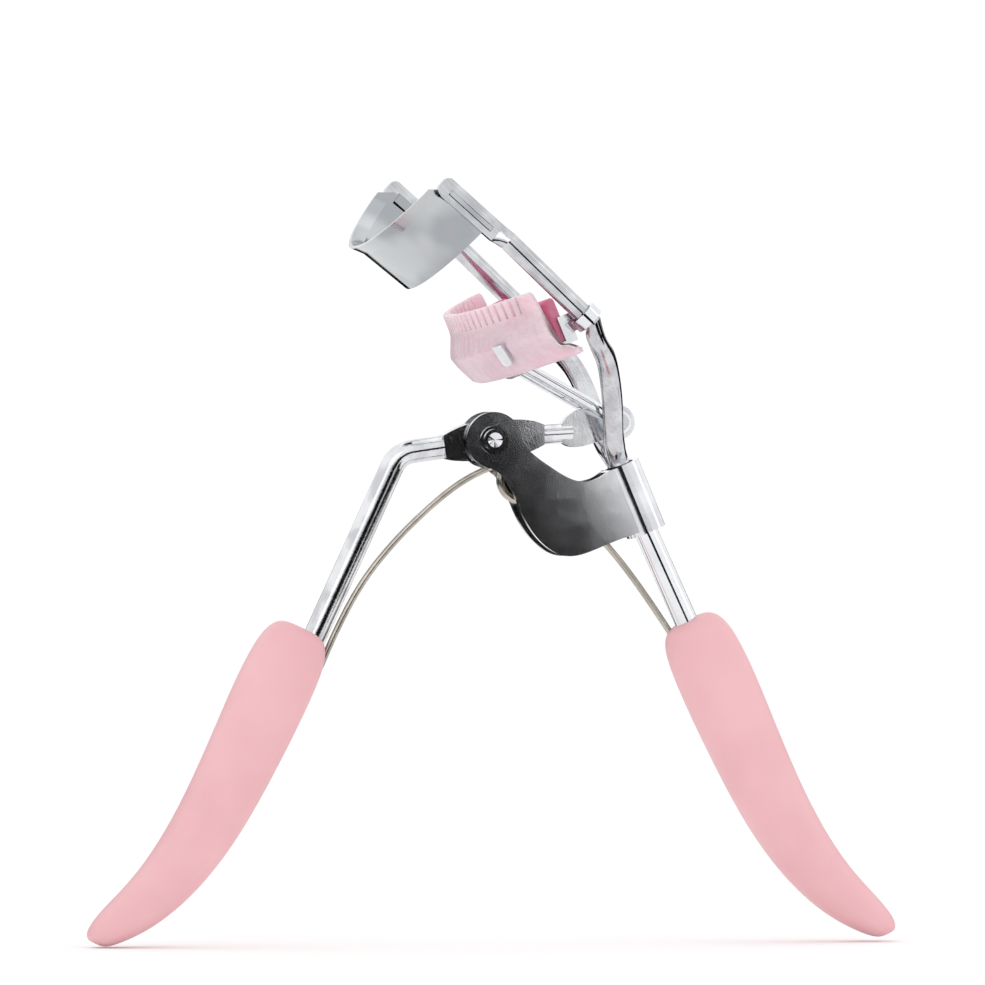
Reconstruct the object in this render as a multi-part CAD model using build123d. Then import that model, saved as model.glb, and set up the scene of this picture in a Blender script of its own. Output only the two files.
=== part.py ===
"""Plier-style eyelash curler, standing open on its grip tips.

Millimetres. X points to the fixed handle, Y runs across the width of the lash gap,
Z is up. The handles lie in the plane Y = 0. The origin is on the ground between the
grip tips. Shapes are drawn about the main pivot and moved to their place on export.
"""
import math
import os

from build123d import *

# ---- where the main pivot stands above the grip tips ----
PIVOT_X = -0.45
PIVOT_Z = 69.25

# ---- clearances ----
SEAT = 0.02          # parts pressed, soldered or glued together
RUN = 0.05           # a shaft that turns in its hole, on the radius
SIDE = 0.20          # gap beside a part that turns between two others

# ---- handle wires ----
WIRE_R = 1.6
FIXED_WIRE_TOP = (20.3, -9.0)
FIXED_WIRE_MOUTH = (27.7, -25.2)
FIXED_WIRE_LENGTH_IN_GRIP = 27.0
MOVING_WIRE_MOUTH = (-24.6, -27.1)
MOVING_WIRE_KNEE = (-12.9, -1.85)
MOVING_WIRE_NECK = (-6.6, -0.95)
MOVING_WIRE_LENGTH_IN_GRIP = 24.0
KNEE_R = 3.6

# ---- soft grips ----
GRIP_THICKNESS = 10.0
GRIP_ROUND = 0.42    # corner radius over the smaller side
GRIP_LEAN = 24.6     # degrees from vertical, the wire's own slope
LEFT_GRIP_MOUTH = (-26.0, -26.2)
LEFT_GRIP_LEAN = 25.7

# ---- bracket: two cheeks and the collar folded from one sheet ----
SHEET = 0.9
CHEEK_GAP = 3.8
EYE_R = 3.85
COLLAR_TOP = (18.15, -3.5)
COLLAR_LENGTH = 9.9
COLLAR_LEAN = 22.6
COLLAR_WIDE = 5.3
COLLAR_DEEP = CHEEK_GAP + 2 * SHEET + 0.5
COLLAR_WALL = 0.75
COLLAR_CORNER_R = 2.3
ARM_DEPTH_IN_COLLAR = 4.6

# ---- main pivot ----
RIVET_R = 1.3
RIVET_HEAD_R = 1.5
RIVET_HEAD_T = 0.45
WASHER_R = 1.95
WASHER_T = 0.3
DIMPLE_R = 1.05

# ---- lever beyond the pivot ----
LEVER_EYE_R = 2.95
LEVER_T = CHEEK_GAP - 2 * SIDE
NECK_R = 1.35
PADDLE_T = 1.9
PADDLE_R = 2.45
LEVER_END = (17.7, 2.4)
END_PIN_R = 0.8

# ---- rails ----
RAIL_Y = 18.0
RAIL_R = 1.35
RAIL_DEG = 43.6      # slope of the rails, measured up from -X
LOOP_REST = (9.6, 16.8)
RAIL_UP = 17.0       # straight rail above the loop's rest place
RAIL_DOWN = 1.3      # straight rail below it
ARM_TALL = 1.45      # half width of the pressed arm, seen from the side
ARM_THIN = 1.05      # its half thickness across
ARM_PRESSED = 0.92   # and where the collar squeezes it
ARM_Y_IN_COLLAR = 1.14

# ---- slotted rail ends and the upper plate ----
FLAT_DEG = 41.3
FLAT_MID = (-6.55, 31.2)
FLAT_W = 2.75
FLAT_T = 1.3
FLAT_LOW = -4.7
FLAT_HIGH = 5.6
SLOT_L = 7.7
SLOT_W = 0.8
PLATE_T = 0.6
PLATE_R = 19.2       # outer face at the pressing edge
PLATE_AXIS = -8.1
PLATE_LOW = -3.3
PLATE_HIGH = 6.2
TAB_L = 7.5

# ---- lower clamp ----
CLAMP_DEG = 22.4     # its plane slopes down from -X by this much when open
CLAMP_AXIS = PLATE_AXIS + 0.4
CLAMP_R = PLATE_R - PLATE_T / 2
PAD_HALF = 1.45
PAD_LOW = -2.1
PAD_TOP = 4.1
PAD_END_DEG = 54.5
CHANNEL_WALL = 0.5
CHANNEL_LOW = -2.6
CHANNEL_HIGH = 0.8
CHANNEL_END_DEG = 56.0
EAR_Y = 15.25
EAR_T = 0.8
TRUNNION_R = 0.6
LOOP_H = 1.7
LOOP_WALL = 0.6
LOOP_CLEAR = 0.12

# ---- comb ----
COMB_WALL = 0.9
COMB_BULGE_R = 23.4
COMB_TIP_R = 22.2
COMB_END_DEG = 52.5
COMB_TAIL_DEG = 61.0
TOOTH_COUNT = 26
TOOTH_GAP = 0.55
TOOTH_DEPTH = 2.5
CLIP_DEG = 34.0
CLIP_W = 1.8

# ---- push rods ----
ROD_R = 0.75
ROD_SPREAD = 4.4     # half distance between the rods
ROD_PIN_N = 8.0      # slot of the clamp's lugs, forward of the loops
ROD_PIN_U = -3.7     # and below them
ROD_PIN_R = 0.6
ROD_EYE_R = 1.0       # eye of each rod on that pin
ROD_SLOT_BACK = 0.95
ROD_SLOT_FRONT = 0.65
LUG_Y = 3.0
LUG_T = 0.7

# ---- return spring ----
SPRING_R = 0.45
COIL_R = 2.8
COIL_CENTRE = (4.25, -5.55)
COIL_PITCH = 1.05
COIL_TURNS = 2


def at_pivot():
    """Moves a shape drawn about the main pivot to its place above the ground."""
    return Pos(PIVOT_X, 0, PIVOT_Z)


def side(x, z, y=0.0):
    """A point of the side view."""
    return Vector(x, y, z)


def direction(degrees):
    """Unit direction in the side view, turned from +X towards +Z."""
    a = math.radians(degrees)
    return Vector(math.cos(a), 0, math.sin(a))


def frame_at(point, forward_deg):
    """Local axes of a curved part: x forward, y across, z up and away from the hand."""
    forward = direction(forward_deg)
    up = direction(forward_deg - 90)
    return Plane(origin=side(*point), x_dir=forward, z_dir=up).location


def slab(face_xz, y_low, y_high):
    """Thickens a face of the side view from one Y to another."""
    part = extrude(face_xz, amount=y_high - y_low, dir=(0, 1, 0))
    return Pos(0, y_low, 0) * part


def disc(point, radius, y_low, y_high):
    """A round disc or shaft that lies across the handles."""
    x, z = point
    plane = Plane(origin=(x, y_low, z), x_dir=(1, 0, 0), z_dir=(0, 1, 0))
    return extrude(plane * Circle(radius), amount=y_high - y_low)


def tube_along(path, radius):
    """A round wire along a path."""
    plane = Plane(origin=path @ 0, z_dir=path % 0)
    return sweep(plane * Circle(radius), path=path)


def face_from(*edges):
    """A flat face inside a closed run of edges."""
    return make_face(Wire(list(edges)))


# ---------------------------------------------------------------- grips

def grip_stations():
    """Height, inner edge, outer edge and thickness, from the mouth to the tip."""
    full = GRIP_THICKNESS
    return [
        (0.0, -2.2, 3.3, 0.55 * full), (-0.9, -3.6, 4.5, 0.80 * full), (-3.6, -4.5, 5.4, 0.97 * full),
        (-10.0, -4.75, 5.75, full), (-20.0, -4.5, 5.25, full), (-31.0, -3.7, 5.2, full),
        (-40.0, -1.4, 6.5, 0.97 * full), (-46.0, 1.7, 8.7, 0.88 * full), (-49.6, 4.9, 9.6, 0.66 * full),
        (-51.0, 6.7, 8.9, 0.33 * full),
    ]


def grip_body():
    """Soft grip before its holes are made: x outwards, z up, the wire enters at 0, 0."""
    sections = []
    for z, inner, outer, thick in grip_stations():
        wide = outer - inner
        shape = RectangleRounded(wide, thick, GRIP_ROUND * min(wide, thick))
        sections.append(Plane.XY.offset(z) * Pos((inner + outer) / 2, 0) * shape)
    return loft(sections)


def fixed_grip():
    mouth = FIXED_WIRE_MOUTH
    part = Pos(mouth[0], 0, mouth[1]) * Rot(0, -GRIP_LEAN, 0) * grip_body()
    part -= tube_along(fixed_wire_path(), WIRE_R + SEAT)
    return part - tube_along(spring_path(), SPRING_R + SEAT)


def moving_grip():
    mouth = LEFT_GRIP_MOUTH
    part = mirror(Rot(0, -LEFT_GRIP_LEAN, 0) * grip_body(), about=Plane.YZ)
    part = Pos(mouth[0], 0, mouth[1]) * part
    part -= tube_along(moving_wire_path(), WIRE_R + SEAT)
    return part - tube_along(spring_path(), SPRING_R + SEAT)


# ---------------------------------------------------------------- handle wires

def fixed_wire_path():
    top = side(*FIXED_WIRE_TOP)
    mouth = side(*FIXED_WIRE_MOUTH)
    run = (mouth - top).normalized()
    return Line(top, mouth + run * FIXED_WIRE_LENGTH_IN_GRIP)


def moving_wire_path():
    mouth = side(*MOVING_WIRE_MOUTH)
    knee = side(*MOVING_WIRE_KNEE)
    neck = side(*MOVING_WIRE_NECK)
    run = (mouth - knee).normalized()
    end = mouth + run * MOVING_WIRE_LENGTH_IN_GRIP
    return FilletPolyline(end, knee, neck, side(-2.0, -0.2), radius=KNEE_R)


def collar_frame():
    """At the collar's top: z runs up its bore, x lies across it in the side view."""
    up = direction(90 + COLLAR_LEAN)
    return Plane(origin=side(*COLLAR_TOP), x_dir=(0, 1, 0), z_dir=up).location


def collar_section(inset):
    width = COLLAR_DEEP - 2 * inset
    height = COLLAR_WIDE - 2 * inset
    return RectangleRounded(width, height, COLLAR_CORNER_R - inset)


def fixed_handle_wire():
    """Handle wire with an upset head that fills the lower half of the collar."""
    head_length = COLLAR_LENGTH - ARM_DEPTH_IN_COLLAR - 0.8
    head = extrude(collar_section(COLLAR_WALL + SEAT), amount=-head_length)
    head = collar_frame() * Pos(0, 0, -ARM_DEPTH_IN_COLLAR - 0.4) * head
    return head + tube_along(fixed_wire_path(), WIRE_R)


def moving_handle_lever():
    """Handle wire, flattened eye, round neck and flattened paddle in one forging."""
    half = LEVER_T / 2
    wire = tube_along(moving_wire_path(), WIRE_R)
    fan_top = Spline(side(-6.9, 0.6), side(-4.6, 1.75), side(-1.5, LEVER_EYE_R - 0.35))
    fan_low = Spline(side(-6.5, -2.5), side(-4.4, -2.9), side(-1.5, -LEVER_EYE_R + 0.35))
    back = Line(side(-6.5, -2.5), side(-6.9, 0.6))
    front = Line(side(-1.5, LEVER_EYE_R - 0.35), side(-1.5, -LEVER_EYE_R + 0.35))
    fan = slab(face_from(fan_top, front, fan_low, back), -half, half)
    eye = disc((0, 0), LEVER_EYE_R, -half, half)
    web_top = Spline(side(0.0, 2.9), side(3.8, 2.8), side(6.0, 2.55), side(7.3, 2.05))
    web_end = Line(side(7.3, 2.05), side(7.3, -0.65))
    web_low = Spline(side(7.3, -0.65), side(5.6, -1.5), side(4.4, -1.95), side(0.6, -2.7))
    web_back = Line(side(0.6, -2.7), side(0.0, 2.9))
    web = slab(face_from(web_top, web_end, web_low, web_back), -half, half)
    neck = tube_along(Line(side(6.6, 0.68), side(11.4, 0.95)), NECK_R)
    low = PADDLE_T / 2
    end = disc(LEVER_END, PADDLE_R, -low, low)
    pad_top = Spline(side(9.9, 2.2), side(11.2, 3.6), side(14.0, 4.4), side(17.5, 4.83))
    pad_end = Line(side(17.5, 4.83), side(17.9, -0.04))
    pad_low = Spline(side(17.9, -0.04), side(14.0, -0.55), side(11.2, -0.95), side(9.9, -0.3))
    pad_back = Line(side(9.9, -0.3), side(9.9, 2.2))
    paddle = slab(face_from(pad_top, pad_end, pad_low, pad_back), -low, low)
    part = wire + fan + eye + web + neck + paddle + end
    part -= disc((0, 0), RIVET_R + RUN, -half - 1, half + 1)
    return part - disc(LEVER_END, END_PIN_R + RUN, -half, half)


# ---------------------------------------------------------------- bracket and pivot

def cheek_outline():
    lower = Spline(
        side(-1.0, -3.72), side(2.0, -6.0), side(3.7, -9.6), side(6.0, -13.4), side(10.2, -15.95),
        side(14.1, -15.1), side(18.5, -13.4),
    )
    edge = Polyline(side(18.5, -13.4), side(21.3, -12.4), side(18.0, -4.1), side(16.2, -4.2))
    upper = Spline(side(16.2, -4.2), side(11.2, -5.5), side(8.2, -3.9), side(4.4, -0.9), side(2.6, 2.84))
    back = Line(side(2.6, 2.84), side(-1.0, -3.72))
    return face_from(lower, *edge.edges(), upper, back)


def bracket():
    inner = CHEEK_GAP / 2
    outer = inner + SHEET
    part = slab(cheek_outline(), inner, outer) + disc((0, 0), EYE_R, inner, outer)
    part += mirror(part, about=Plane.XZ)
    collar = collar_frame() * extrude(collar_section(0), amount=-COLLAR_LENGTH)
    bore = collar_frame() * Pos(0, 0, 1) * extrude(collar_section(COLLAR_WALL), amount=-COLLAR_LENGTH - 2)
    part = part + collar - bore
    return part - disc((0, 0), RIVET_R + SEAT, -outer - 1, outer + 1)


def pivot_rivet():
    """Rivet with two heads, each with a cone pressed into it."""
    outer = CHEEK_GAP / 2 + SHEET + WASHER_T + 2 * SEAT
    part = disc((0, 0), RIVET_R, -outer, outer)
    part += disc((0, 0), RIVET_HEAD_R, outer, outer + RIVET_HEAD_T)
    part += disc((0, 0), RIVET_HEAD_R, -outer - RIVET_HEAD_T, -outer)
    tip = outer + RIVET_HEAD_T - 0.6
    cone = Cone(0.02, DIMPLE_R, 0.62, align=(Align.CENTER, Align.CENTER, Align.MIN))
    part -= Pos(0, tip, 0) * Rot(-90, 0, 0) * cone
    return part - Pos(0, -tip, 0) * Rot(90, 0, 0) * cone


def rivet_washer(sign):
    low = CHEEK_GAP / 2 + SHEET + SEAT
    part = disc((0, 0), WASHER_R, low, low + WASHER_T) - disc((0, 0), RIVET_R + SEAT, low - 1, low + 1)
    if sign < 0:
        part = mirror(part, about=Plane.XZ)
    return part


# ---------------------------------------------------------------- rails and arms

def rail_point(distance):
    up = direction(180 - RAIL_DEG)
    return side(*LOOP_REST) + up * distance


def flat_frame():
    """Local axes of the slotted ends: x forward, y across, z up along the end."""
    return frame_at(FLAT_MID, 270 - FLAT_DEG)


def arm_stations(sign):
    """Centre of an arm, the half width and the half thickness, rail to collar."""
    low = rail_point(-RAIL_DOWN) + Vector(0, sign * RAIL_Y, 0)
    bore_top = side(*COLLAR_TOP)
    down = direction(270 + COLLAR_LEAN)
    tuck = Vector(0, sign * ARM_Y_IN_COLLAR, 0)
    return [
        (low, RAIL_R, RAIL_R),
        (side(12.1, 12.9, sign * 15.3), 1.38, 1.25),
        (side(13.95, 10.3, sign * 11.6), ARM_TALL, 1.1),
        (side(15.05, 7.3, sign * 8.8), ARM_TALL, ARM_THIN),
        (side(15.75, 4.4, sign * 6.7), ARM_TALL, ARM_THIN),
        (side(16.6, 0.2, sign * 3.6), ARM_TALL, ARM_THIN),
        (side(17.25, -1.7, sign * 1.95), ARM_TALL, ARM_THIN),
        (side(17.75, -2.75, sign * 1.3), 1.4, ARM_PRESSED),
        (bore_top + down * 0.6 + tuck, 1.35, ARM_PRESSED),
        (bore_top + down * 2.2 + tuck, 1.35, ARM_PRESSED),
        (bore_top + down * ARM_DEPTH_IN_COLLAR + tuck, 1.35, ARM_PRESSED),
    ]


def arm_curve(stations):
    points = [row[0] for row in stations]
    start = direction(-RAIL_DEG)
    finish = direction(270 + COLLAR_LEAN)
    return Spline(*points, tangents=(start, finish))


def arm_section(centre, run, tall, thin):
    across = Vector(0, 1, 0)
    plane = Plane(origin=centre, x_dir=across - run * across.dot(run), z_dir=run)
    return plane * Ellipse(thin, tall)


def guide_arm(sign):
    """Slotted flat end, round rail and pressed arm of one side, bent from one rod."""
    stations = arm_stations(sign)
    curve = arm_curve(stations)
    sections = []
    for centre, tall, thin in stations:
        run = curve.tangent_at(curve.param_at_point(centre))
        sections.append(arm_section(centre, run, tall, thin))
    arm = loft(sections)
    across = Vector(0, sign * RAIL_Y, 0)
    low = rail_point(-RAIL_DOWN) + across
    high = rail_point(RAIL_UP - 1.9) + across
    rail = tube_along(Line(low, high), RAIL_R)
    flat = extrude(Rectangle(FLAT_W, FLAT_T), amount=FLAT_HIGH - FLAT_LOW)
    flat = Pos(-0.2, 0, FLAT_LOW) * flat
    corners = flat.edges().filter_by(Axis.Y).group_by(Axis.Z)[-1]
    flat = fillet(corners, 0.9)
    slot = Box(SLOT_W, FLAT_T + 2, SLOT_L)
    place = Pos(0, sign * RAIL_Y, 0) * flat_frame()
    foot = place * Pos(-0.2, 0, FLAT_LOW) * Rectangle(FLAT_W, FLAT_T)
    run = direction(180 - RAIL_DEG)
    neck_plane = Plane(origin=high, x_dir=direction(270 - RAIL_DEG), z_dir=run)
    neck = loft([neck_plane * Circle(RAIL_R), foot])
    return arm + rail + neck + place * (flat - slot)


def upper_plate():
    """Thin curved plate with a turned-out upper lip and a tab at each end."""
    low_in = PLATE_R - PLATE_T
    profile = Polyline(
        (PLATE_R, PLATE_LOW), (PLATE_R + 0.35, PLATE_HIGH - 1.9), (PLATE_R + 1.0, PLATE_HIGH),
        (PLATE_R + 0.45, PLATE_HIGH), (PLATE_R - 0.25, PLATE_HIGH - 1.75), (low_in, PLATE_LOW), close=True,
    )
    sheet = revolve(Plane.XZ * make_face(profile), axis=Axis.Z, revolution_arc=132)
    sheet = Pos(PLATE_AXIS, 0, 0) * Rot(0, 0, -66) * sheet
    inside = RAIL_Y - FLAT_T / 2 - SIDE
    keep = Box(60, 2 * inside, 40)
    part = sheet & keep
    tab_end = RAIL_Y + FLAT_T / 2 + 0.15
    tab_start = inside - 0.5
    tab = Pos(0, (tab_start + tab_end) / 2, 0) * Box(PLATE_T, tab_end - tab_start, TAB_L)
    bend = Pos(0.35, inside - 0.45, 0) * Box(1.3, 0.9, TAB_L)
    part = part + tab + bend + mirror(tab + bend, about=Plane.XZ)
    return flat_frame() * part


# ---------------------------------------------------------------- lower clamp

def clamp_frame():
    """Local axes of the clamp: x forward, y across, z up; 0 on the loops' axis."""
    return frame_at(LOOP_REST, 180 + CLAMP_DEG)


def band(profile, degrees):
    """Revolves a radius-height profile about the clamp's own curve."""
    part = revolve(Plane.XZ * make_face(profile), axis=Axis.Z, revolution_arc=2 * degrees)
    return Pos(CLAMP_AXIS, 0, 0) * Rot(0, 0, -degrees) * part


def ring_band(r_low, r_high, z_low, z_high, degrees):
    profile = Polyline((r_low, z_low), (r_high, z_low), (r_high, z_high), (r_low, z_high), close=True)
    return band(profile, degrees)


def on_curve(degrees, radius):
    """A place on the clamp's curve, its x axis pointing outwards."""
    return Pos(CLAMP_AXIS, 0, 0) * Rot(0, 0, degrees) * Pos(radius, 0, 0)


def pad_channel():
    """Curved channel with end ears, comb clips and the two slotted lugs."""
    wall_in = CLAMP_R - PAD_HALF - CHANNEL_WALL
    wall_out = CLAMP_R + PAD_HALF + CHANNEL_WALL
    part = ring_band(wall_in, wall_out, CHANNEL_LOW, CHANNEL_HIGH, CHANNEL_END_DEG)
    groove = ring_band(CLAMP_R - PAD_HALF, CLAMP_R + PAD_HALF, PAD_LOW, CHANNEL_HIGH + 1, CHANNEL_END_DEG + 5)
    part -= groove
    ear = Pos(1.3, 0, 0) * Box(5.4, EAR_T, 2.6) + Pos(3.0, 0, -1.3) * Box(2.6, EAR_T, 2.6)
    bore = Rot(90, 0, 0) * Cylinder(TRUNNION_R + RUN, 4)
    low = Box(60, 2 * (EAR_Y + EAR_T / 2), 40)
    part &= low
    for sign in (1, -1):
        part += Pos(0, sign * EAR_Y, 0) * (ear - bore)
    part -= Pos(0, 0, 0) * ring_band(CLAMP_R - PAD_HALF, CLAMP_R + PAD_HALF, PAD_LOW, 6, PAD_END_DEG + 0.3)
    for sign in (1, -1):
        part += comb_clip(sign * CLIP_DEG)
        part += Pos(0, sign * LUG_Y, 0) * rod_lug()
    return clamp_frame() * part


def comb_clip(degrees):
    """Tab that passes out through the comb's window and folds down over it."""
    wall_out = CLAMP_R + PAD_HALF + CHANNEL_WALL
    reach = COMB_BULGE_R - wall_out + 0.6
    out = Pos(reach / 2 - 0.2, 0, 0.45) * Box(reach + 0.4, CLIP_W, 0.5)
    fold = Pos(0, 0, -1.55) * Box(0.5, CLIP_W, 3.1)
    fold = fillet(fold.edges().filter_by(Axis.X).group_by(Axis.Z)[0], 0.7)
    fold = Pos(reach - 0.25, 0, 0.6) * Rot(0, 14, 0) * fold
    return on_curve(degrees, wall_out) * (out + fold)


def rod_lug():
    """Slotted lug under the channel; the push rods' pin rides in its slot."""
    top = CHANNEL_LOW + 0.2
    low = ROD_PIN_U - 1.35
    back = ROD_PIN_N - 2.1
    front = CLAMP_AXIS + CLAMP_R - 0.5
    body = Pos((back + front) / 2, 0, (top + low) / 2) * Box(front - back, LUG_T, top - low)
    corners = body.edges().filter_by(Axis.Y).group_by(Axis.Z)[0]
    body = fillet(corners, 0.9)
    slot_r = ROD_PIN_R + 0.14
    slot = Pos(0, 0, 0) * Box(ROD_SLOT_BACK + ROD_SLOT_FRONT, LUG_T + 2, 2 * slot_r)
    slot = Pos((ROD_SLOT_FRONT - ROD_SLOT_BACK) / 2, 0, 0) * slot
    for end in (-ROD_SLOT_BACK, ROD_SLOT_FRONT):
        slot += Pos(end, 0, 0) * Rot(90, 0, 0) * Cylinder(slot_r, LUG_T + 2)
    return body - Pos(ROD_PIN_N, 0, ROD_PIN_U) * slot


def silicone_pad():
    half = PAD_HALF - SEAT
    top = 0.7
    profile = Polyline(
        (CLAMP_R - half, PAD_LOW + SEAT), (CLAMP_R + half, PAD_LOW + SEAT), (CLAMP_R + half, PAD_TOP - top),
        (CLAMP_R + half - top, PAD_TOP), (CLAMP_R - half + top, PAD_TOP), (CLAMP_R - half, PAD_TOP - top),
        close=True,
    )
    return clamp_frame() * band(profile, PAD_END_DEG)


def comb_profile(high):
    """Wall of the comb: teeth above, a bulge over the channel and a lip below."""
    bulge = COMB_BULGE_R
    tip = COMB_TIP_R
    t = COMB_WALL
    return Polyline(
        (tip, high), (tip, 3.2), (bulge, 0.1), (bulge - 1.3, -3.2), (bulge - 2.2, -4.2), (bulge - 3.6, -4.2),
        (bulge - 3.6, -3.4), (bulge - 2.7, -3.4), (bulge - 2.2, -3.0), (bulge - t, 0.1), (tip - t, 3.2),
        (tip - t, high), close=True,
    )


def lash_comb():
    part = band(comb_profile(6.1), COMB_TAIL_DEG)
    for sign in (1, -1):
        upper = on_curve(sign * (COMB_END_DEG + 20), COMB_BULGE_R - 2) * Pos(0, 0, 2.2)
        wide = 2 * (COMB_BULGE_R - 2) * math.sin(math.radians(20))
        part -= upper * Box(14, wide, 9)
        window = on_curve(sign * CLIP_DEG, COMB_BULGE_R - 1) * Pos(0, 0, 0.45)
        part -= window * Box(4, CLIP_W + 0.4, 1.1)
    step = 2 * (COMB_END_DEG - 7) / TOOTH_COUNT
    for i in range(TOOTH_COUNT + 1):
        place = on_curve(-COMB_END_DEG + 7 + i * step, COMB_TIP_R - COMB_WALL / 2)
        part -= place * Pos(0, 0, 6.1 - TOOTH_DEPTH / 2 + 0.5) * Box(3, TOOTH_GAP, TOOTH_DEPTH + 1)
    return clamp_frame() * part


def rail_loop(sign):
    """Loop that slides on the rail, with the stub the clamp's ear turns on."""
    inner = RAIL_R + LOOP_CLEAR
    outer = inner + LOOP_WALL
    run = direction(180 - RAIL_DEG)
    centre = side(*LOOP_REST) + Vector(0, sign * RAIL_Y, 0)
    plane = Plane(origin=centre - run * (LOOP_H / 2), x_dir=(0, 1, 0), z_dir=run)
    ring = extrude(plane * Circle(outer), amount=LOOP_H)
    start = EAR_Y - EAR_T / 2 - 0.5
    stub = disc(LOOP_REST, TRUNNION_R, start, RAIL_Y - inner - 0.1)
    if sign < 0:
        stub = mirror(stub, about=Plane.XZ)
    hole = extrude(plane * Circle(inner), amount=LOOP_H + 4, both=True)
    return ring + stub - hole


# ---------------------------------------------------------------- push rods

def rod_pin_place():
    """Centre of the pin under the clamp, in the side view."""
    spot = clamp_frame() * Pos(ROD_PIN_N, 0, ROD_PIN_U)
    return (spot.position.X, spot.position.Z)


def push_rod(sign):
    """Rod with an eye on the lever's end and an eye on the pin under the clamp."""
    x, z = rod_pin_place()
    top = side(x, z)
    low = side(*LEVER_END)
    run = (top - low).normalized()
    spread = Vector(0, ROD_SPREAD, 0)
    eye_y = PADDLE_T / 2 + SIDE
    joggle = Vector(0, eye_y + 0.45, 0)
    bends = (top + spread, low + run * 4.6 + spread, low + run * 1.9 + joggle, low + run * 0.9 + joggle)
    path = FilletPolyline(*bends, radius=1.0)
    part = tube_along(path, ROD_R)
    part += disc(LEVER_END, 1.7, eye_y, eye_y + 0.9)
    part -= Pos(0, -5 + eye_y, 0) * Box(200, 10, 200)
    part += disc((x, z), ROD_EYE_R, ROD_SPREAD - 0.6, ROD_SPREAD + 0.6)
    part -= disc(LEVER_END, END_PIN_R + 0.6, eye_y + 0.9, 9)
    part -= disc(LEVER_END, END_PIN_R + SEAT, 0, 9)
    part -= disc((x, z), ROD_PIN_R + SEAT, 0, 9)
    if sign < 0:
        part = mirror(part, about=Plane.XZ)
    return part


def lever_end_pin():
    reach = PADDLE_T / 2 + SIDE + 0.9 + SEAT
    part = disc(LEVER_END, END_PIN_R, -reach, reach)
    part += disc(LEVER_END, END_PIN_R + 0.5, reach, reach + 0.4)
    return part + disc(LEVER_END, END_PIN_R + 0.5, -reach - 0.4, -reach)


def clamp_pin():
    reach = ROD_SPREAD + 0.6 + 0.2
    return disc(rod_pin_place(), ROD_PIN_R, -reach, reach)


# ---------------------------------------------------------------- return spring

def spring_path():
    """Leg from the moving grip, coil between the cheeks, leg to the fixed grip."""
    cx, cz = COIL_CENTRE
    low = -COIL_PITCH * COIL_TURNS / 2 - 0.25
    points = [side(-24.0, -31.0, low), side(-20.2, -22.1, low), side(-15.4, -15.6, low), side(-10.4, -10.6, low)]
    points += [side(-5.5, -6.5, low), side(-1.4, -4.5, low)]
    steps = 8
    for i in range(steps * COIL_TURNS + 3):
        a = math.radians(112 - 360 * i / steps)
        y = low + COIL_PITCH * i / steps
        points.append(side(cx + COIL_R * math.cos(a), cz + COIL_R * math.sin(a), y))
    high = points[-1].Y
    points += [side(10.4, -8.0, high), side(17.0, -14.6, high), side(21.7, -20.6, high), side(27.6, -29.6, high)]
    return Spline(*points)


def return_spring():
    return tube_along(spring_path(), SPRING_R)


NODES = {
    "fixed_handle_wire": fixed_handle_wire,
    "fixed_grip": fixed_grip,
    "bracket": bracket,
    "guide_arm_near": lambda: guide_arm(-1),
    "guide_arm_far": lambda: guide_arm(1),
    "upper_plate": upper_plate,
    "pivot_rivet": pivot_rivet,
    "rivet_washer_near": lambda: rivet_washer(-1),
    "rivet_washer_far": lambda: rivet_washer(1),
    "moving_handle_lever": moving_handle_lever,
    "moving_grip": moving_grip,
    "return_spring": return_spring,
    "rail_loop_near": lambda: rail_loop(-1),
    "rail_loop_far": lambda: rail_loop(1),
    "pad_channel": pad_channel,
    "silicone_pad": silicone_pad,
    "lash_comb": lash_comb,
    "push_rod_near": lambda: push_rod(-1),
    "push_rod_far": lambda: push_rod(1),
    "lever_end_pin": lever_end_pin,
    "clamp_pin": clamp_pin,
}

os.makedirs("parts", exist_ok=True)
for name, make in NODES.items():
    export_step(at_pivot() * make(), f"parts/{name}.step")
    print(name)
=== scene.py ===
"""Looks of a plier-style eyelash curler, standing open on its grip tips.

Shapes are drawn in millimetres about the main pivot, x to the fixed handle, y across
the lash gap, z up, and are moved to their place in metres when a piece is finished.
"""

import math

import bmesh
import bpy
from mathutils import Matrix, Vector


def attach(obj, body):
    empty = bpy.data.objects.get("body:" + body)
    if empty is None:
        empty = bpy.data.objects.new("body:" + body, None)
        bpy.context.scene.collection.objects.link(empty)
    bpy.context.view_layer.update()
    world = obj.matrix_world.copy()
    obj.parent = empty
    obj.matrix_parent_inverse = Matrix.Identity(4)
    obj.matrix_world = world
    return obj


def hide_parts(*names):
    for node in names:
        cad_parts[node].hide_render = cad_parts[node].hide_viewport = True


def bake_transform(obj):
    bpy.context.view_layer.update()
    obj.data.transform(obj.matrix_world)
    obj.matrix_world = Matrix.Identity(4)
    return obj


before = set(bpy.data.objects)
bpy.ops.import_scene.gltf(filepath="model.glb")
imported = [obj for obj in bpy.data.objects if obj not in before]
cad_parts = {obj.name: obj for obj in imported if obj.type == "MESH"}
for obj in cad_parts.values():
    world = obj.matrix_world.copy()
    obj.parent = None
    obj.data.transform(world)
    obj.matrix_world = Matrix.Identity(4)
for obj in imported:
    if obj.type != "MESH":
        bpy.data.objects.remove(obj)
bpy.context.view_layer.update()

# ---- where the drawing's origin, the main pivot, stands ----
MM = 0.001
PIVOT = Vector((-0.45, 0.0, 69.25))
TO_ROW = Matrix.Scale(MM, 4) @ Matrix.Translation(PIVOT)

# ---- camera: far away, almost level, turned to the moving handle's side ----
CAMERA_AT = Vector((-0.41601, -1.95671, 0.07948))
CAMERA_TURN = math.radians(12)
CAMERA_RISE = math.radians(0.5)
CAMERA_LENS = 532.5

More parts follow.
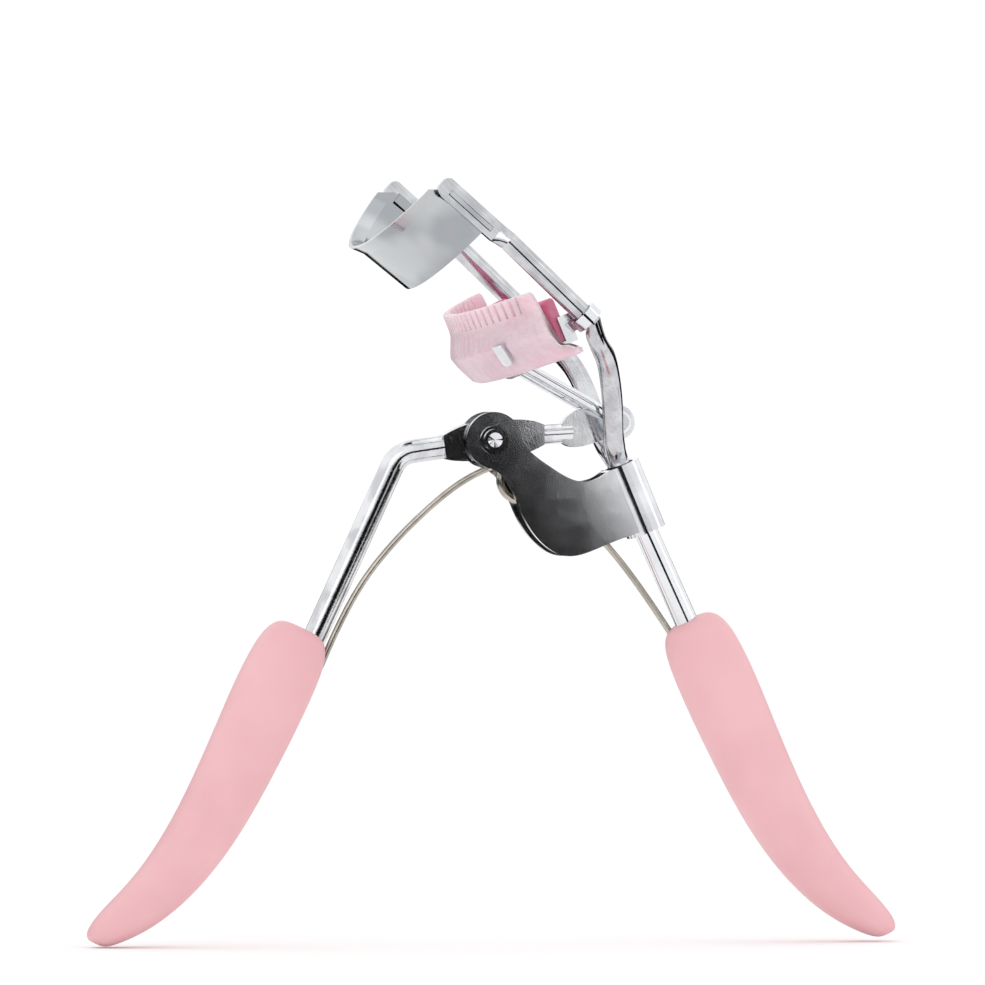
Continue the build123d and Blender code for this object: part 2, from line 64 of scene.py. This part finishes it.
# ---- slope and place of the curved lower clamp ----
CLAMP_DEG = 22.4
LOOP_REST = (9.6, 16.8)
CLAMP_AXIS = -7.7
CLAMP_R = 18.9

SMOOTH_UNDER = math.radians(38)


# ================================================================ drawing helpers

def direction(degrees):
    """Unit direction in the side view, turned from +x towards +z."""
    a = math.radians(degrees)
    return Vector((math.cos(a), 0, math.sin(a)))


def frame_at(point, forward_deg):
    """Local axes of a curved head: x forward, y across, z up and away from the hand."""
    forward = direction(forward_deg)
    up = direction(forward_deg - 90)
    across = up.cross(forward)
    place = Matrix((forward, across, up)).transposed().to_4x4()
    return Matrix.Translation((point[0], 0, point[1])) @ place


CLAMP_FRAME = frame_at(LOOP_REST, 180 + CLAMP_DEG)


def verts_of(result, key="geom"):
    return [e for e in result[key] if isinstance(e, bmesh.types.BMVert)]


def edges_of(result, key="geom"):
    return [e for e in result[key] if isinstance(e, bmesh.types.BMEdge)]


def close_holes(bm):
    open_edges = [e for e in bm.edges if e.is_boundary]
    if open_edges:
        bmesh.ops.holes_fill(bm, edges=open_edges, sides=0)


def tidy(bm, gap=1e-4):
    """Merges doubles and turns every face outwards."""
    bmesh.ops.remove_doubles(bm, verts=bm.verts, dist=gap)
    bmesh.ops.recalc_face_normals(bm, faces=bm.faces)


def outline(bm, points):
    """A closed flat face from a few corner points."""
    return bm.faces.new([bm.verts.new(p) for p in points])


def spun(profile, centre_x, half_deg, steps):
    """Turns a radius-height profile about the head's own upright axis."""
    bm = bmesh.new()
    start = Matrix.Rotation(math.radians(-half_deg), 4, "Z")
    face = outline(bm, [start @ Vector((r, 0, z)) for r, z in profile])
    geom = [face, *face.edges, *face.verts]
    bmesh.ops.spin(
        bm, geom=geom, cent=(0, 0, 0), axis=(0, 0, 1), angle=math.radians(2 * half_deg),
        steps=steps, use_duplicate=False,
    )
    close_holes(bm)
    bmesh.ops.translate(bm, vec=(centre_x, 0, 0), verts=bm.verts)
    return bm


def finished(name, bm, body, material, nodes=(), place=None, subdivide=0, sharp=SMOOTH_UNDER):
    """Turns a drawing into a piece in its place, riding on its body."""
    tidy(bm)
    if place is not None:
        bm.transform(place)
    bm.transform(TO_ROW)
    for face in bm.faces:
        face.smooth = True
    for edge in bm.edges:
        if len(edge.link_faces) == 2 and not subdivide:
            edge.smooth = edge.calc_face_angle(0) < sharp
    mesh = bpy.data.meshes.new(name)
    bm.to_mesh(mesh)
    bm.free()
    mesh.materials.append(material)
    piece = bpy.data.objects.new(name, mesh)
    bpy.context.scene.collection.objects.link(piece)
    if subdivide:
        smooth = piece.modifiers.new("smooth", "SUBSURF")
        smooth.levels = smooth.render_levels = subdivide
    if body:
        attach(piece, body)
    if nodes:
        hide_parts(*nodes)
    return piece


def wire_mesh(points, radius, order=4, smooth=10):
    """Round wire along a smooth line through the places given, as a mesh."""
    curve = bpy.data.curves.new("wire", "CURVE")
    curve.dimensions = "3D"
    spline = curve.splines.new("NURBS")
    spline.points.add(len(points) - 1)
    for knot, point in zip(spline.points, points):
        knot.co = (*point, 1.0)
    spline.order_u = order
    spline.use_endpoint_u = True
    spline.resolution_u = smooth
    curve.bevel_depth = radius
    curve.bevel_resolution = 5
    curve.use_fill_caps = True
    holder = bpy.data.objects.new("wire", curve)
    bpy.context.scene.collection.objects.link(holder)
    graph = bpy.context.evaluated_depsgraph_get()
    mesh = bpy.data.meshes.new_from_object(holder.evaluated_get(graph))
    bm = bmesh.new()
    bm.from_mesh(mesh)
    bpy.data.objects.remove(holder)
    bpy.data.curves.remove(curve)
    bpy.data.meshes.remove(mesh)
    return bm


# ================================================================ finishes

class Value:
    """A socket that can be used in sums."""

    def __init__(self, recipe, socket):
        self.recipe = recipe
        self.socket = socket

    def _sum(self, operation, first, second):
        node = self.recipe.add("ShaderNodeMath", {"operation": operation}, {0: first, 1: second})
        return Value(self.recipe, node.outputs[0])

    def __add__(self, other):
        return self._sum("ADD", self, other)

    def __radd__(self, other):
        return self._sum("ADD", other, self)

    def __sub__(self, other):
        return self._sum("SUBTRACT", self, other)

    def __rsub__(self, other):
        return self._sum("SUBTRACT", other, self)

    def __mul__(self, other):
        return self._sum("MULTIPLY", self, other)

    def __rmul__(self, other):
        return self._sum("MULTIPLY", other, self)

    def step(self, low, high):
        """0 below low, 1 above high, smooth between."""
        node = self.recipe.add(
            "ShaderNodeMapRange", {"interpolation_type": "SMOOTHSTEP"},
            {"Value": self, "From Min": low, "From Max": high},
        )
        return Value(self.recipe, node.outputs["Result"])


class Recipe:
    """One material: a Principled shader and the nodes that feed it."""

    def __init__(self, name, **fixed):
        self.material = bpy.data.materials.new(name)
        self.material.use_nodes = True
        self.tree = self.material.node_tree
        self.tree.nodes.clear()
        out = self.add("ShaderNodeOutputMaterial")
        self.shader = self.add("ShaderNodeBsdfPrincipled")
        self.tree.links.new(self.shader.outputs[0], out.inputs[0])
        for key, value in fixed.items():
            self.shader.inputs[key.replace("_", " ")].default_value = value

    def add(self, kind, settings=None, values=None):
        node = self.tree.nodes.new(kind)
        for key, value in (settings or {}).items():
            setattr(node, key, value)
        for key, value in (values or {}).items():
            if isinstance(value, Value):
                self.tree.links.new(value.socket, node.inputs[key])
            else:
                node.inputs[key].default_value = value
        return node

    def place(self, per_mm=(1, 1, 1), centre=(0, 0, 0), turn=(0, 0, 0)):
        """Object coordinates in millimetres about a centre, turned and stretched."""
        where = self.add("ShaderNodeTexCoord")
        spot = (Vector(centre) + PIVOT) * MM
        moved = self.add("ShaderNodeVectorMath", {"operation": "SUBTRACT"}, {1: spot})
        self.tree.links.new(where.outputs["Object"], moved.inputs[0])
        angles = tuple(math.radians(a) for a in turn)
        node = self.add(
            "ShaderNodeMapping", {"vector_type": "TEXTURE"},
            {"Rotation": angles, "Scale": tuple(MM / s for s in per_mm)},
        )
        self.tree.links.new(moved.outputs[0], node.inputs["Vector"])
        return Value(self, node.outputs["Vector"])

    def noise(self, where, scale=1.0, detail=2.0, rough=0.5):
        node = self.add(
            "ShaderNodeTexNoise", None,
            {"Vector": where, "Scale": scale, "Detail": detail, "Roughness": rough},
        )
        return Value(self, node.outputs[0])

    def spots(self, where, scale=1.0):
        node = self.add("ShaderNodeTexVoronoi", None, {"Vector": where, "Scale": scale})
        return Value(self, node.outputs["Distance"])

    def blend(self, share, first, second):
        node = self.add("ShaderNodeMix", {"data_type": "RGBA"}, {0: share, 6: first, 7: second})
        return Value(self, node.outputs[2])

    def feed(self, name, value):
        self.tree.links.new(value.socket, self.shader.inputs[name])

    def relief(self, height, depth_mm):
        """Bump whose height of 1 stands depth_mm proud."""
        node = self.add(
            "ShaderNodeBump", None, {"Strength": 1.0, "Distance": depth_mm * MM, "Height": height},
        )
        self.tree.links.new(node.outputs[0], self.shader.inputs["Normal"])


def srgb(red, green, blue):
    """Linear colour from the 0 to 255 values of a paint card."""
    def line(v):
        v /= 255
        return v / 12.92 if v <= 0.04045 else ((v + 0.055) / 1.055) ** 2.4
    return (line(red), line(green), line(blue), 1.0)


def plated(name, bright, dull, smooth, peel_mm, speckle=0.0, turn=(0, 0, 0)):
    """Bright plating: faint waves, drawing lines, a fine peel and a few dark pits."""
    r = Recipe(name, Metallic=1.0)
    where = r.place()
    waves = r.noise(where, 0.35, 2.0)
    peel = r.noise(where, 2.6, 3.0, 0.6)
    drawn = r.noise(r.place((0.25, 6.0, 6.0), turn=turn), 1.0, 2.0)
    pits = 1 - r.spots(where, 1.9).step(0.03, 0.13)
    tone = (waves * 0.6 + drawn * 0.4).step(0.3, 0.7)
    r.feed("Base Color", r.blend(pits * speckle, r.blend(tone, dull, bright), srgb(70, 70, 74)))
    r.feed("Roughness", (waves * 0.05 + drawn * 0.03 + peel * 0.03 + smooth) + pits * speckle * 0.2)
    r.relief(peel * 0.7 + waves * 1.5 + drawn * 0.25 - pits * speckle * 0.6, peel_mm)
    return r.material


def speckled(name, bright, dull, smooth, peel_mm):
    """Plating over a lightly pebbled blank, which glints here and there."""
    r = Recipe(name, Metallic=1.0)
    where = r.place()
    waves = r.noise(where, 0.3, 2.0)
    pebble = r.noise(where, 6.0, 2.0, 0.55)
    grit = r.spots(where, 3.4).step(0.05, 0.3)
    r.feed("Base Color", r.blend(waves.step(0.35, 0.65), dull, bright))
    r.feed("Roughness", waves * 0.04 + pebble * 0.05 + smooth)
    r.relief(pebble + grit * 0.35 + waves * 0.5, peel_mm)
    return r.material


def polished(name, bright, dull, reflected_pink):
    """Buffed plate: broad cloudy patches, fine buffing lines and faint patches of painted pink reflection of
    the nearby pink parts.
    """
    r = Recipe(name, Metallic=1.0)
    where = r.place()
    patch = r.noise(where, 0.11, 1.5).step(0.40, 0.62)
    # painted reflection: patches where the pink parts nearby are painted into the plate's colour
    pink_reflection_mask = r.noise(r.place((1, 1, 1), (-14, 6, 0)), 0.13, 1.0).step(0.58, 0.75)
    buff = r.noise(r.place((0.3, 7.0, 1.2)), 1.0, 3.0)
    fine = r.noise(where, 7.0, 3.0)
    tone = r.blend(patch * 0.8 + buff * 0.2, dull, bright)
    r.feed("Base Color", r.blend(pink_reflection_mask * 0.3, tone, reflected_pink))
    r.feed("Roughness", 0.05 + patch * 0.05 + buff * 0.04 + fine * 0.03)
    r.relief(patch * 2.0 + buff * 0.4 + fine * 0.15, 0.0012)
    return r.material


def soft_rubber(name):
    """Matt pink skin with a fine grain and faint broad cloudiness."""
    r = Recipe(name, Coat_Roughness=0.5, Specular_IOR_Level=0.35, Subsurface_Weight=0.12,
               Subsurface_Radius=(0.004, 0.0015, 0.0012), Subsurface_Scale=0.4)
    where = r.place()
    cloud = r.noise(where, 0.09, 2.0)
    grain = r.noise(where, 7.0, 3.0, 0.65)
    tone = (cloud * 0.8 + grain * 0.2).step(0.3, 0.7)
    r.feed("Base Color", r.blend(tone, srgb(228, 176, 181), srgb(234, 184, 189)))
    r.feed("Roughness", 0.44 + cloud * 0.08 + grain * 0.08)
    r.relief(grain + cloud * 0.6, 0.006)
    return r.material


def milky_plastic(name):
    """Pale pink moulded plastic that lets light in at its thin edges."""
    r = Recipe(name, Subsurface_Weight=0.8, Subsurface_Radius=(0.004, 0.0026, 0.0028),
               Subsurface_Scale=0.9, IOR=1.49)
    where = r.place()
    cloud = r.noise(where, 0.25, 2.0)
    flow = r.noise(r.place((0.4, 1.6, 2.4)), 1.0, 2.0)
    fine = r.noise(where, 8.0, 2.0)
    tone = (cloud * 0.5 + flow * 0.5).step(0.3, 0.7)
    r.feed("Base Color", r.blend(tone, srgb(224, 186, 196), srgb(232, 202, 209)))
    r.feed("Roughness", 0.27 + fine * 0.12 + cloud * 0.06)
    r.relief(fine * 0.4 + flow, 0.01)
    return r.material


def silicone(name):
    """Deep pink silicone with a satin bloom."""
    r = Recipe(name, Subsurface_Weight=0.35, Subsurface_Radius=(0.003, 0.0008, 0.001),
               Subsurface_Scale=0.5, Specular_IOR_Level=0.4)
    where = r.place()
    cloud = r.noise(where, 0.5, 2.0)
    fine = r.noise(where, 9.0, 3.0)
    bloom = (cloud * 0.6 + fine * 0.4).step(0.35, 0.7)
    r.feed("Base Color", r.blend(bloom, srgb(208, 108, 142), srgb(226, 134, 163)))
    r.feed("Roughness", 0.4 + fine * 0.15 + cloud * 0.08)
    r.relief(fine + cloud * 0.5, 0.012)
    return r.material


CHROME = plated("chrome_rod", srgb(236, 237, 240), srgb(222, 224, 228), 0.02, 0.0012)
CHROME_CAST = speckled("chrome_forged", srgb(230, 231, 234), srgb(200, 201, 205), 0.05, 0.007)
CHROME_SHEET = plated("chrome_sheet", srgb(232, 233, 236), srgb(212, 214, 217), 0.04, 0.003, 0.35)
BRACKET = speckled("bracket_sheet", srgb(232, 233, 236), srgb(214, 215, 219), 0.07, 0.0035)
ARM = plated("chrome_arm", srgb(218, 219, 222), srgb(176, 177, 181), 0.03, 0.0018, 0.0, (0, 43.6, 0))
# the last colour is a painted pink reflection of the nearby pink parts, mixed in by patches
MIRROR = polished("mirror_sheet", srgb(196, 199, 201), srgb(160, 164, 168), srgb(200, 168, 171))
SPRING = plated("spring_steel", srgb(196, 190, 180), srgb(168, 162, 152), 0.16, 0.002)
RUBBER = soft_rubber("soft_pink_grip")
PLASTIC = milky_plastic("milky_pink_plastic")
PAD = silicone("deep_pink_silicone")

CARRIED = {
    CHROME: (
        "fixed_handle_wire", "push_rod_near", "push_rod_far",
        "rail_loop_near", "rail_loop_far", "clamp_pin",
    ),
    CHROME_CAST: ("moving_handle_lever", "lever_end_pin"),
    BRACKET: ("bracket",),
    ARM: ("guide_arm_near", "guide_arm_far"),
    CHROME_SHEET: ("pad_channel", "pivot_rivet", "rivet_washer_near", "rivet_washer_far"),
    MIRROR: ("upper_plate",),
}


def carry_over():
    """Gives each CAD solid that stays its finish."""
    for material, names in CARRIED.items():
        for name in names:
            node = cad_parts[name]
            for i in range(len(node.data.materials)):
                node.material_slots[i].material = material


# ================================================================ soft grips

GRIP_STATIONS = (
    (0.25, -1.2, 2.3, 0.30), (0.12, -2.4, 3.5, 0.58), (-0.9, -3.75, 4.65, 0.84), (-3.6, -4.6, 5.5, 0.99),
    (-10.0, -4.8, 5.8, 1.02), (-20.0, -4.55, 5.3, 1.02), (-31.0, -3.75, 5.2, 1.02),
    (-40.0, -1.35, 6.45, 0.99),
    (-46.0, 1.75, 8.75, 0.9), (-49.5, 4.8, 9.6, 0.68), (-50.75, 6.2, 9.15, 0.44), (-50.95, 7.1, 8.5, 0.2),
)
GRIP_THICK = 10.0
GRIP_SIDES = 16
GRIP_SQUARE = 2.9    # how square the grip's section is, 2 being an ellipse
GRIP_SMOOTH = 3      # rounds of smoothing
FIXED_MOUTH = (27.7, 0, -25.2)
FIXED_LEAN_DEG = 24.6
MOVING_MOUTH = (-26.0, 0, -26.2)
MOVING_LEAN_DEG = 25.7


def squared_ring(bm, sides, power):
    """A ring of radius 1 pushed out towards its corners."""
    made = bmesh.ops.create_circle(bm, segments=sides, radius=1.0)
    for v in made["verts"]:
        reach = (abs(v.co.x) ** power + abs(v.co.y) ** power) ** (-1 / power)
        v.co *= reach
    return made["verts"]


def grip_drawing():
    """Grip about its mouth: x outwards, z up the handle."""
    bm = bmesh.new()
    ring = squared_ring(bm, GRIP_SIDES, GRIP_SQUARE)
    edges = list({e for v in ring for e in v.link_edges})
    size = Vector((1, 1))
    at = Vector((0, 0, 0))
    for i, (z, inner, outer, thick) in enumerate(GRIP_STATIONS):
        want = Vector(((outer - inner) / 2, thick * GRIP_THICK / 2))
        centre = Vector(((inner + outer) / 2, 0, z))
        if i:
            made = bmesh.ops.extrude_edge_only(bm, edges=edges)
            ring, edges = verts_of(made), edges_of(made)
        grow = (want.x / size.x, want.y / size.y, 1)
        bmesh.ops.scale(bm, vec=grow, verts=ring, space=Matrix.Translation(-at))
        bmesh.ops.translate(bm, vec=centre - at, verts=ring)
        size, at = want, centre
    close_holes(bm)
    return bm


def leaning(degrees):
    return Matrix.Rotation(math.radians(-degrees), 4, "Y")


def make_grips():
    """Both skins come from one drawing, the moving one as its mirror image."""
    place = Matrix.Translation(FIXED_MOUTH) @ leaning(FIXED_LEAN_DEG)
    finished(
        "fixed_grip_skin", grip_drawing(), "frame", RUBBER, ["fixed_grip"], place, GRIP_SMOOTH,
    )
    drawing = grip_drawing()
    mirrored = Matrix.Scale(-1, 4, (1, 0, 0)) @ leaning(MOVING_LEAN_DEG)
    drawing.transform(Matrix.Translation(MOVING_MOUTH) @ mirrored)
    finished(
        "moving_grip_skin", drawing, "lever", RUBBER, ["moving_grip"], None, GRIP_SMOOTH,
    )


# ================================================================ silicone pad

PAD_HALF = 1.42
PAD_LOW = -2.05
PAD_TOP = 4.1
PAD_ROUND = 0.7
PAD_END_DEG = 54.3
PAD_STEPS = 48


def make_pad():
    r, h = CLAMP_R, PAD_HALF
    shoulder = PAD_TOP - PAD_ROUND
    profile = [
        (r - h, PAD_LOW), (r + h, PAD_LOW), (r + h, 0.5), (r + h, shoulder), (r + h * 0.86, PAD_TOP - 0.22),
        (r + h * 0.5, PAD_TOP), (r - h * 0.5, PAD_TOP), (r - h * 0.86, PAD_TOP - 0.22), (r - h, shoulder),
        (r - h, 0.5),
    ]
    bm = spun(profile, CLAMP_AXIS, PAD_END_DEG, PAD_STEPS)
    pad = finished("silicone_pad_strip", bm, "lower_clamp", PAD, ["silicone_pad"], CLAMP_FRAME)
    edges = pad.modifiers.new("edges", "BEVEL")
    edges.width, edges.segments, edges.limit_method = 0.22 * MM, 3, "ANGLE"


# ================================================================ lash comb

COMB_OUTER = (
    (22.2, 3.6), (22.32, 2.9), (22.75, 1.9), (23.15, 1.0), (23.38, 0.3), (23.36, -0.1),
    (23.0, -1.2), (22.55, -2.2),
    (22.1, -3.2), (21.75, -3.8), (21.2, -4.2),
)
COMB_INNER = (
    (19.9, -4.2), (19.9, -3.5), (20.7, -3.4), (21.1, -3.0), (21.65, -2.2), (22.1, -1.2),
    (22.46, -0.1), (22.48, 0.3),
    (22.25, 1.0), (21.85, 1.9), (21.42, 2.9), (21.3, 3.6),
)
COMB_STEP_DEG = 0.4375
COMB_STEPS = 278
COMB_HALF_DEG = COMB_STEP_DEG * COMB_STEPS / 2
TOOTH_STEPS = 8      # one tooth and one gap
GAP_STEPS = 3
TOOTH_ZONE_DEG = 46.0
TOOTH_H = 2.5
RIB_DEEP = 0.05


def turn_of(point):
    """Angle of a place about the clamp's own curve, in degrees, and its radius."""
    return math.degrees(math.atan2(point.y, point.x)), math.hypot(point.x, point.y)


def in_tooth(step):
    return (step - COMB_STEPS // 2 + TOOTH_STEPS * 50) % TOOTH_STEPS >= GAP_STEPS


def make_comb():
    bm = spun(COMB_OUTER + COMB_INNER, 0.0, COMB_HALF_DEG, COMB_STEPS)
    crown = [f for f in bm.faces if f.normal.z > 0.7 and f.calc_center_median().z > 3.5]
    for face in list(crown):
        turn, _ = turn_of(face.calc_center_median())
        step = int((turn + COMB_HALF_DEG) / COMB_STEP_DEG)
        if abs(turn) < TOOTH_ZONE_DEG and not in_tooth(step):
            crown.remove(face)
    made = bmesh.ops.extrude_face_region(bm, geom=crown)
    bmesh.ops.translate(bm, vec=(0, 0, TOOTH_H), verts=verts_of(made))
    bmesh.ops.delete(bm, geom=crown, context="FACES")
    for v in bm.verts:
        turn, reach = turn_of(v.co)
        limit = comb_top(abs(turn))
        if v.co.z > limit:
            v.co.z = limit
        rib = math.cos(math.radians(turn / (COMB_STEP_DEG * TOOTH_STEPS) * 360 - 67))
        outside = reach - comb_middle(v.co.z)
        if outside > 0.2 and -3.4 < v.co.z < 3.8 and 3 < abs(turn) < 50:
            deep = RIB_DEEP * (0.5 + 0.5 * rib)
            v.co.xy *= (reach - deep) / reach
    bmesh.ops.translate(bm, vec=(CLAMP_AXIS, 0, 0), verts=bm.verts)
    finished("lash_comb_moulding", bm, "lower_clamp", PLASTIC, ["lash_comb"], CLAMP_FRAME)


def comb_middle(z):
    """Radius half way through the comb's wall at a height."""
    rows = COMB_OUTER
    for (r0, z0), (r1, z1) in zip(rows, rows[1:]):
        if z1 <= z <= z0:
            return r0 + (r1 - r0) * (z0 - z) / (z0 - z1) - 0.45
    return rows[0][0] - 0.45 if z > rows[0][1] else rows[-1][0] - 0.7


def comb_top(turn):
    """Height where the comb's wall stops: full, rounded, scooped down, then its tail."""
    if turn < 50.5:
        return 99.0
    if turn < 52.5:
        return 4.6 + 1.5 * math.sqrt(max(0.0, 1 - ((turn - 50.5) / 2.0) ** 2))
    if turn < 57.0:
        share = (turn - 52.5) / 4.5
        return -2.3 + 6.9 * (1 - share) ** 2.2
    return -2.3 - 0.9 * ((turn - 57.0) / 4.0) ** 2


# ================================================================ return spring

SPRING_R = 0.45
COIL_R = 2.8
COIL_CENTRE = (4.25, -5.55)
COIL_PITCH = 1.05
COIL_TURNS = 2
COIL_STEPS = 8
COIL_START_DEG = 112
COIL_PULL = 0.902    # a smooth line of eight knots a turn runs this far in from them


def make_spring():
    cx, cz = COIL_CENTRE
    low = -COIL_PITCH * COIL_TURNS / 2 - 0.25
    points = [
        (-24.0, low, -31.0), (-20.2, low, -22.1), (-15.4, low, -15.6), (-10.4, low, -10.6), (-5.5, low, -6.4),
        (-1.4, low, -4.1),
    ]
    reach = COIL_R / COIL_PULL
    for i in range(COIL_STEPS * COIL_TURNS + 3):
        a = math.radians(COIL_START_DEG - 360 * i / COIL_STEPS)
        points.append((cx + reach * math.cos(a), low + COIL_PITCH * i / COIL_STEPS, cz + reach * math.sin(a)))
    high = points[-1][1]
    points += [(10.4, high, -8.0), (17.0, high, -14.6), (21.7, high, -20.6), (27.6, high, -29.6)]
    bm = wire_mesh(points, SPRING_R)
    spring = finished("return_spring_wire", bm, None, SPRING, ["return_spring"])
    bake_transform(spring)


# ================================================================ stage

def make_stage():
    bm = bmesh.new()
    bmesh.ops.create_grid(bm, x_segments=1, y_segments=1, size=20.0)
    mesh = bpy.data.meshes.new("floor")
    bm.to_mesh(mesh)
    bm.free()
    floor = bpy.data.objects.new("floor", mesh)
    bpy.context.scene.collection.objects.link(floor)
    floor.location.z = -0.00005
    paper = Recipe("floor_paper", Roughness=0.9, Specular_IOR_Level=0.1)
    tone = paper.noise(paper.place(), 0.02, 2.0)
    paper.feed("Base Color", paper.blend(tone, (0.93, 0.93, 0.93, 1), (0.97, 0.97, 0.97, 1)))
    mesh.materials.append(paper.material)


SCREEN_NEAR = 0.13
SCREEN_FAR = 0.30
SCREEN_TALL = 0.080
VEIL_FAR = 0.34
VEIL_TALL = 0.105


def screen_height(x, y):
    """Height of the dark screen's upper edge, with a sloping gap at the front right."""
    if y > 0 or x < 0.0:
        return SCREEN_TALL
    slope = 0.0676 - (x - 0.037) * 1.6
    rise = (x - 0.15) * 0.9
    return max(0.006, min(SCREEN_TALL, slope), min(SCREEN_TALL * 0.8, rise))


def veil_height(x, y):
    """Height of the grey veil behind it, lower where the gap is."""
    if y > 0 or x < 0.03:
        return VEIL_TALL
    return max(0.002, VEIL_TALL - (x - 0.03) * 3.5, min(VEIL_TALL, (x - 0.16) * 1.2))


def make_screen(name, near, far, height, shade):
    """A shallow bowl round the table, seen only in bright metal."""
    bm = bmesh.new()
    ring = bmesh.ops.create_circle(bm, segments=240, radius=near)["verts"]
    for v in ring:
        v.co.z = 0.0006
    edges = list({e for v in ring for e in v.link_edges})
    made = verts_of(bmesh.ops.extrude_edge_only(bm, edges=edges))
    for v in made:
        v.co.xy *= far / near
    for v in ring:
        if v.co.x < 0 or v.co.y > 0:
            v.co.xy *= 0.5 + 0.5 * far / near
        v.co.z = height(v.co.x, v.co.y)
    mesh = bpy.data.meshes.new(name)
    bm.to_mesh(mesh)
    bm.free()
    screen = bpy.data.objects.new(name, mesh)
    bpy.context.scene.collection.objects.link(screen)
    screen.visible_camera = False
    screen.visible_diffuse = False
    screen.visible_shadow = False
    screen.visible_transmission = False
    cloth = Recipe(name + "_cloth", Roughness=1.0, Specular_IOR_Level=0.0)
    cloth.shader.inputs["Base Color"].default_value = (shade, shade, shade * 1.03, 1)
    mesh.materials.append(cloth.material)


def make_flags():
    """Dark screen and grey veil that give bright metal its dark and grey streaks."""
    make_screen("dark_screen", SCREEN_NEAR, SCREEN_FAR, screen_height, 0.006)
    make_screen("grey_veil", SCREEN_FAR * 1.05, VEIL_FAR, veil_height, 0.24)


def soft_box(name, at, aim, size, power):
    lamp = bpy.data.lights.new(name, "AREA")
    lamp.shape = "RECTANGLE"
    lamp.size, lamp.size_y = size
    lamp.energy = power
    holder = bpy.data.objects.new(name, lamp)
    bpy.context.scene.collection.objects.link(holder)
    holder.location = at
    holder.rotation_euler = (Vector(aim) - Vector(at)).to_track_quat("-Z", "Y").to_euler()


def make_lights():
    world = bpy.data.worlds.new("studio")
    bpy.context.scene.world = world
    world.use_nodes = True
    background = world.node_tree.nodes["Background"]
    background.inputs[0].default_value = (1.0, 1.0, 1.0, 1)
    background.inputs[1].default_value = 1.07
    middle = (0, 0, 0.06)
    soft_box("box_front", (-0.75, -1.5, 0.85), middle, (0.9, 0.7), 1.5)
    soft_box("box_right", (1.3, -0.5, 0.6), middle, (0.5, 0.8), 0.6)
    soft_box("box_top", (0.1, 0.3, 1.4), middle, (1.1, 0.9), 0.6)


def make_camera():
    lens = bpy.data.cameras.new("camera")
    lens.sensor_width = 36
    lens.lens = CAMERA_LENS
    lens.clip_start, lens.clip_end = 0.01, 60
    camera = bpy.data.objects.new("camera", lens)
    bpy.context.scene.collection.objects.link(camera)
    camera.location = CAMERA_AT
    look = Vector((
        math.sin(CAMERA_TURN) * math.cos(CAMERA_RISE), math.cos(CAMERA_TURN) * math.cos(CAMERA_RISE),
        -math.sin(CAMERA_RISE),
    ))
    camera.rotation_euler = look.to_track_quat("-Z", "Y").to_euler()
    bpy.context.scene.camera = camera


# ================================================================ making

make_camera()
make_lights()
make_stage()
make_flags()
carry_over()
make_grips()
make_pad()
make_comb()
make_spring()
bpy.context.scene.view_settings.view_transform = "Standard"
